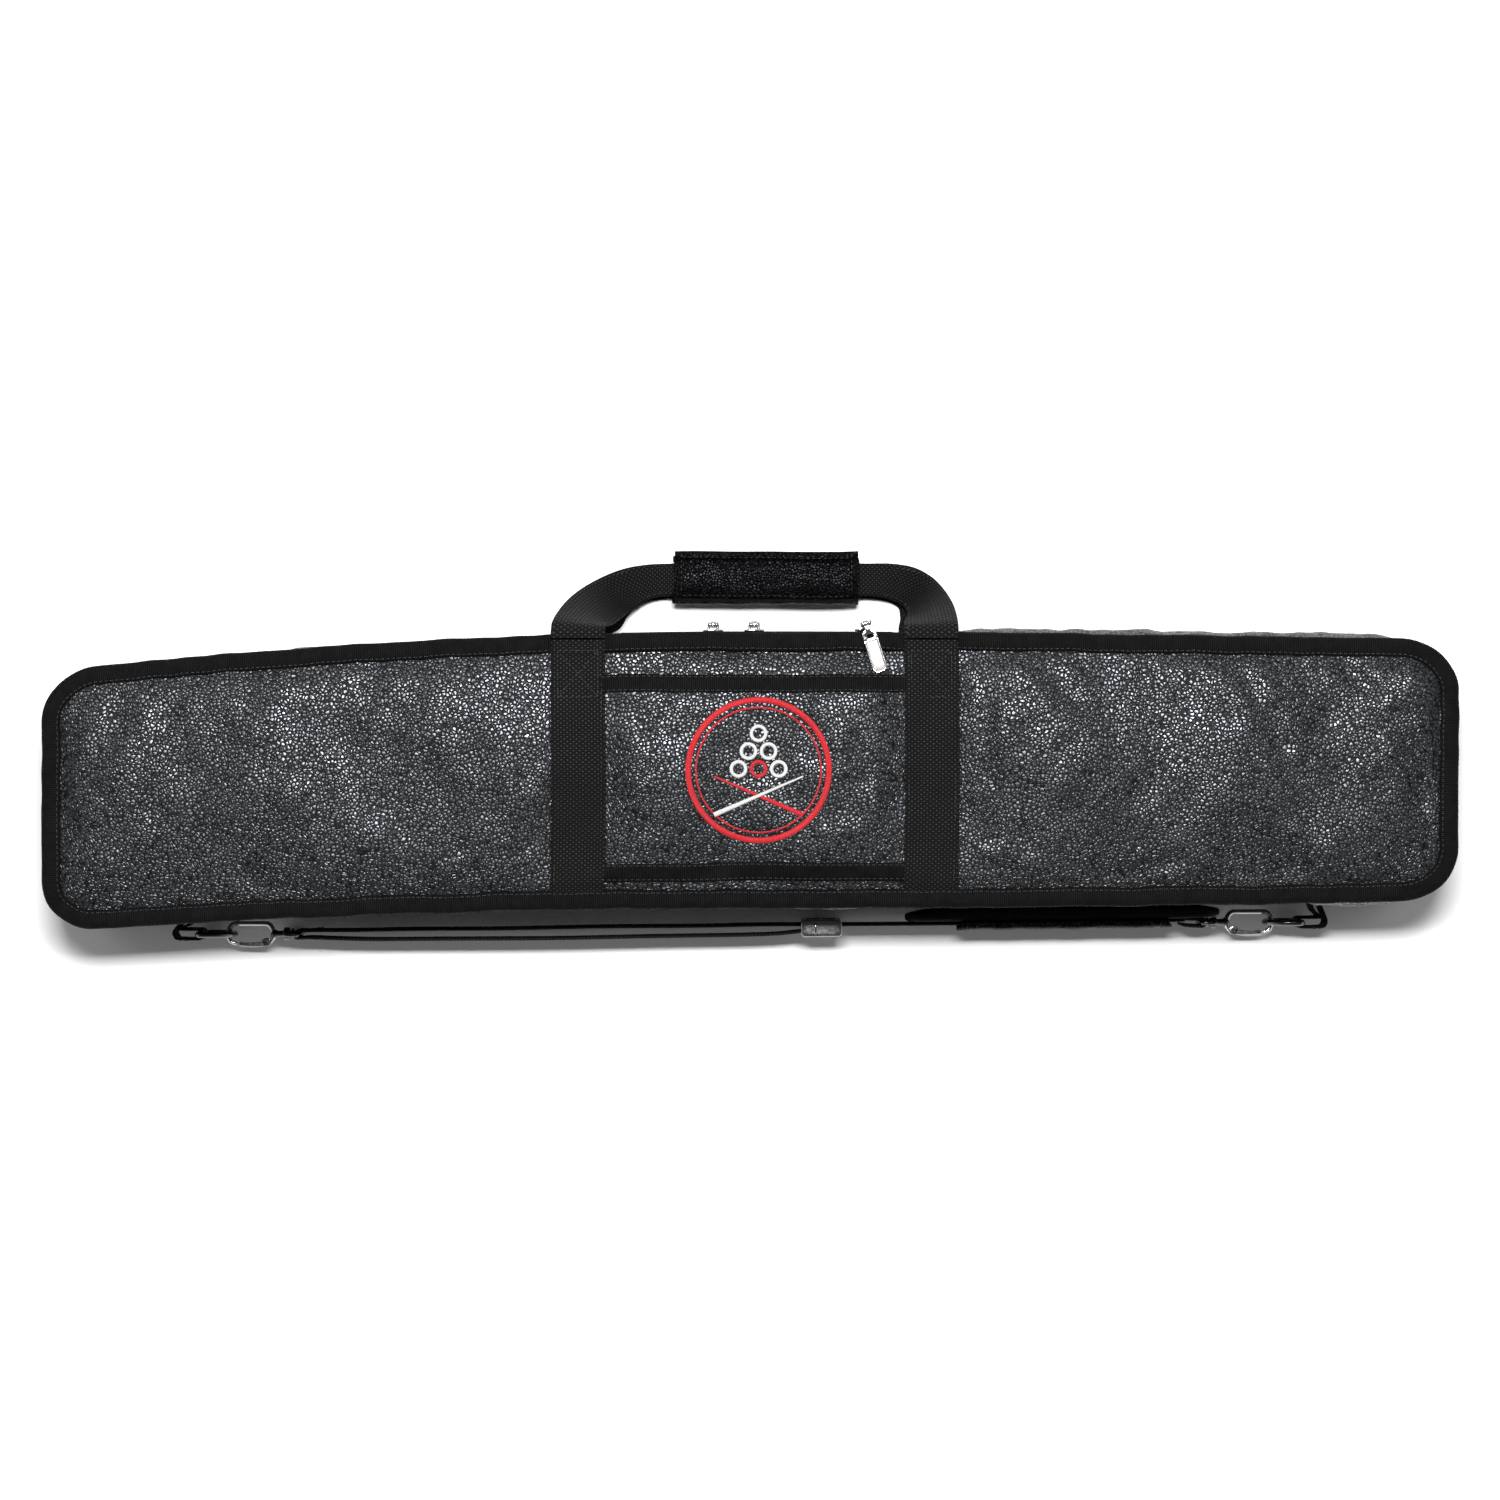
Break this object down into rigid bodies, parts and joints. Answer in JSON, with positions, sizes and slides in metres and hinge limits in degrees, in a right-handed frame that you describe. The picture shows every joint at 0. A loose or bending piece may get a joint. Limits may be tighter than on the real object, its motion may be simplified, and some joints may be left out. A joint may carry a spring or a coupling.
{
  "type": "soft cue case",
  "caption": "Soft padded carrying case for billiards cues, with a zipped lid, padded cue lanes, pockets, a folding handle and a clip-on padded shoulder strap.",
  "frame": {"origin": "centre of the back panel's flat outer face, on the table", "axes": "+X along the case, +Y from the case towards the carrying handle, +Z out of the front panel (up, as it lies)"},
  "size_m": [0.834, 0.2409, 0.0882],
  "materials": {
    "leather": "pebbled black artificial leather, satin sheen",
    "binding_tape": "ribbed black tape",
    "webbing": "plain woven black webbing",
    "zip_tape": "herringbone zip tape, black",
    "zip_teeth": "black nylon coil teeth",
    "board": "stiff board and foam core, hidden",
    "lining": "short-pile charcoal lining over foam",
    "elastic": "ribbed black elastic",
    "touch_strip": "hook-and-loop strip",
    "emblem_thread": "red embroidery thread, satin stitch",
    "nickel": "polished nickel plate, fine scratches",
    "gunmetal": "dark nickel plate, polished"
  },
  "bodies": {
    "back_shell": {"back_panel": "leather", "base_board": "board", "rear_gusset": "leather", "rear_binding": "binding_tape", "rear_webs": "webbing", "hinge_gusset": "leather", "main_zip_tape_rear": "zip_tape", "main_zip_coil_rear": "zip_teeth", "cue_tray": "lining", "tray_end_pads": "lining", "cue_cradles": "lining", "retaining_bands": "elastic", "ring_tab_left": "webbing", "ring_tab_right": "webbing", "strap_web": "webbing", "strap_return": "webbing", "strap_keepers": "webbing", "swivel_eye_left": "nickel", "swivel_eye_right": "nickel"},
    "lid": {"front_panel": "leather", "front_gusset": "leather", "front_binding": "binding_tape", "front_webs": "webbing", "slip_pocket": "leather", "pocket_binding_top": "binding_tape", "pocket_binding_bottom": "binding_tape", "emblem": "emblem_thread", "main_zip_tape_front": "zip_tape", "main_zip_coil_front": "zip_teeth", "pocket_zip_tape": "zip_tape", "pocket_zip_coil": "zip_teeth", "lid_liner": "lining"},
    "front_handle": {"front_handle_web": "webbing", "grip_core": "board", "grip_wrap": "leather", "grip_hook_strip": "touch_strip"},
    "handle_flap": {"grip_flap": "leather"},
    "rear_handle": {"rear_handle_web": "webbing"},
    "left_main_slider": {"main_slider_left": "nickel"},
    "right_main_slider": {"main_slider_right": "nickel"},
    "left_main_pull": {"main_pull_left": "nickel"},
    "right_main_pull": {"main_pull_right": "nickel"},
    "lid_pocket_slider": {"pocket_slider": "nickel"},
    "lid_pocket_pull": {"pocket_pull": "nickel"},
    "left_d_ring": {"d_ring_left": "gunmetal"},
    "right_d_ring": {"d_ring_right": "gunmetal"},
    "left_snap_hook": {"snap_hook_left": "nickel", "hook_rivet_left": "gunmetal"},
    "right_snap_hook": {"snap_hook_right": "nickel", "hook_rivet_right": "gunmetal"},
    "left_hook_gate": {"hook_gate_left": "nickel"},
    "right_hook_gate": {"hook_gate_right": "nickel"},
    "strap_adjuster": {"adjuster": "nickel"},
    "shoulder_pad": {"pad_cushion": "leather", "pad_binding": "binding_tape", "pad_sleeve": "leather"}
  },
  "joints": [
    {"name": "lid_hinge", "type": "hinge", "parent": "back_shell", "child": "lid", "pos_m": [0, -0.0932, 0.04], "axis": [1, 0, 0], "range_deg": [0, 95], "deforming": ["hinge_gusset"]},
    {"name": "front_handle_fold", "type": "hinge", "parent": "lid", "child": "front_handle", "pos_m": [0, 0.084, 0.082], "axis": [1, 0, 0], "range_deg": [0, 150]},
    {"name": "handle_flap_hinge", "type": "hinge", "parent": "front_handle", "child": "handle_flap", "pos_m": [0, 0.1324, 0.0204], "axis": [-1, 0, 0], "range_deg": [0, 160]},
    {"name": "rear_handle_fold", "type": "hinge", "parent": "back_shell", "child": "rear_handle", "pos_m": [0, 0.084, 0.0011], "axis": [1, 0, 0], "range_deg": [-90, 0]},
    {"name": "left_slider_travel", "type": "slide", "parent": "back_shell", "child": "left_main_slider", "axis": [-0.9996, -0.0294, 0], "range_m": [0, 0.17]},
    {"name": "right_slider_travel", "type": "slide", "parent": "back_shell", "child": "right_main_slider", "axis": [1, -0.0094, 0], "range_m": [0, 0.33]},
    {"name": "left_pull_swing", "type": "hinge", "parent": "left_main_slider", "child": "left_main_pull", "pos_m": [-0.022, 0.08683, 0.04], "axis": [1, 0, 0], "range_deg": [0, 170]},
    {"name": "right_pull_swing", "type": "hinge", "parent": "right_main_slider", "child": "right_main_pull", "pos_m": [0.0025, 0.0869, 0.04], "axis": [1, 0, 0], "range_deg": [0, 170]},
    {"name": "pocket_slider_travel", "type": "slide", "parent": "lid", "child": "lid_pocket_slider", "axis": [-1, -0.0036, 0], "range_m": [0, 0.135]},
    {"name": "pocket_pull_swing", "type": "hinge", "parent": "lid_pocket_slider", "child": "lid_pocket_pull", "pos_m": [0.068, 0.08617, 0.0843], "axis": [-0.9537, -0.3007, 0], "range_deg": [0, 175]},
    {"name": "left_ring_swing", "type": "hinge", "parent": "back_shell", "child": "left_d_ring", "pos_m": [-0.3325, -0.0994, 0.016], "axis": [0, 0, 1], "range_deg": [-2, 2]},
    {"name": "right_ring_swing", "type": "hinge", "parent": "back_shell", "child": "right_d_ring", "pos_m": [0.3325, -0.0922, 0.016], "axis": [0, 0, 1], "range_deg": [-2, 2]},
    {"name": "left_hook_swivel", "type": "hinge", "parent": "back_shell", "child": "left_snap_hook", "pos_m": [-0.302, -0.0994, 0.016], "axis": [1, 0, 0], "range_deg": [-15, 15]},
    {"name": "right_hook_swivel", "type": "hinge", "parent": "back_shell", "child": "right_snap_hook", "pos_m": [0.302, -0.0922, 0.016], "axis": [1, 0, 0], "range_deg": [-15, 15]},
    {"name": "left_gate_press", "type": "hinge", "parent": "left_snap_hook", "child": "left_hook_gate", "pos_m": [-0.2932, -0.1054, 0.016], "axis": [0, 0, -1], "range_deg": [0, 20], "stiffness_Nm_per_rad": 0.02},
    {"name": "right_gate_press", "type": "hinge", "parent": "right_snap_hook", "child": "right_hook_gate", "pos_m": [0.2932, -0.0982, 0.016], "axis": [0, 0, 1], "range_deg": [0, 20], "stiffness_Nm_per_rad": 0.02},
    {"name": "adjuster_travel", "type": "slide", "parent": "back_shell", "child": "strap_adjuster", "axis": [0.9999, 0.0131, 0], "range_m": [-0.23, 0]},
    {"name": "shoulder_pad_travel", "type": "slide", "parent": "back_shell", "child": "shoulder_pad", "axis": [0.9999, 0.0131, 0], "range_m": [-0.034, 0]}
  ]
}
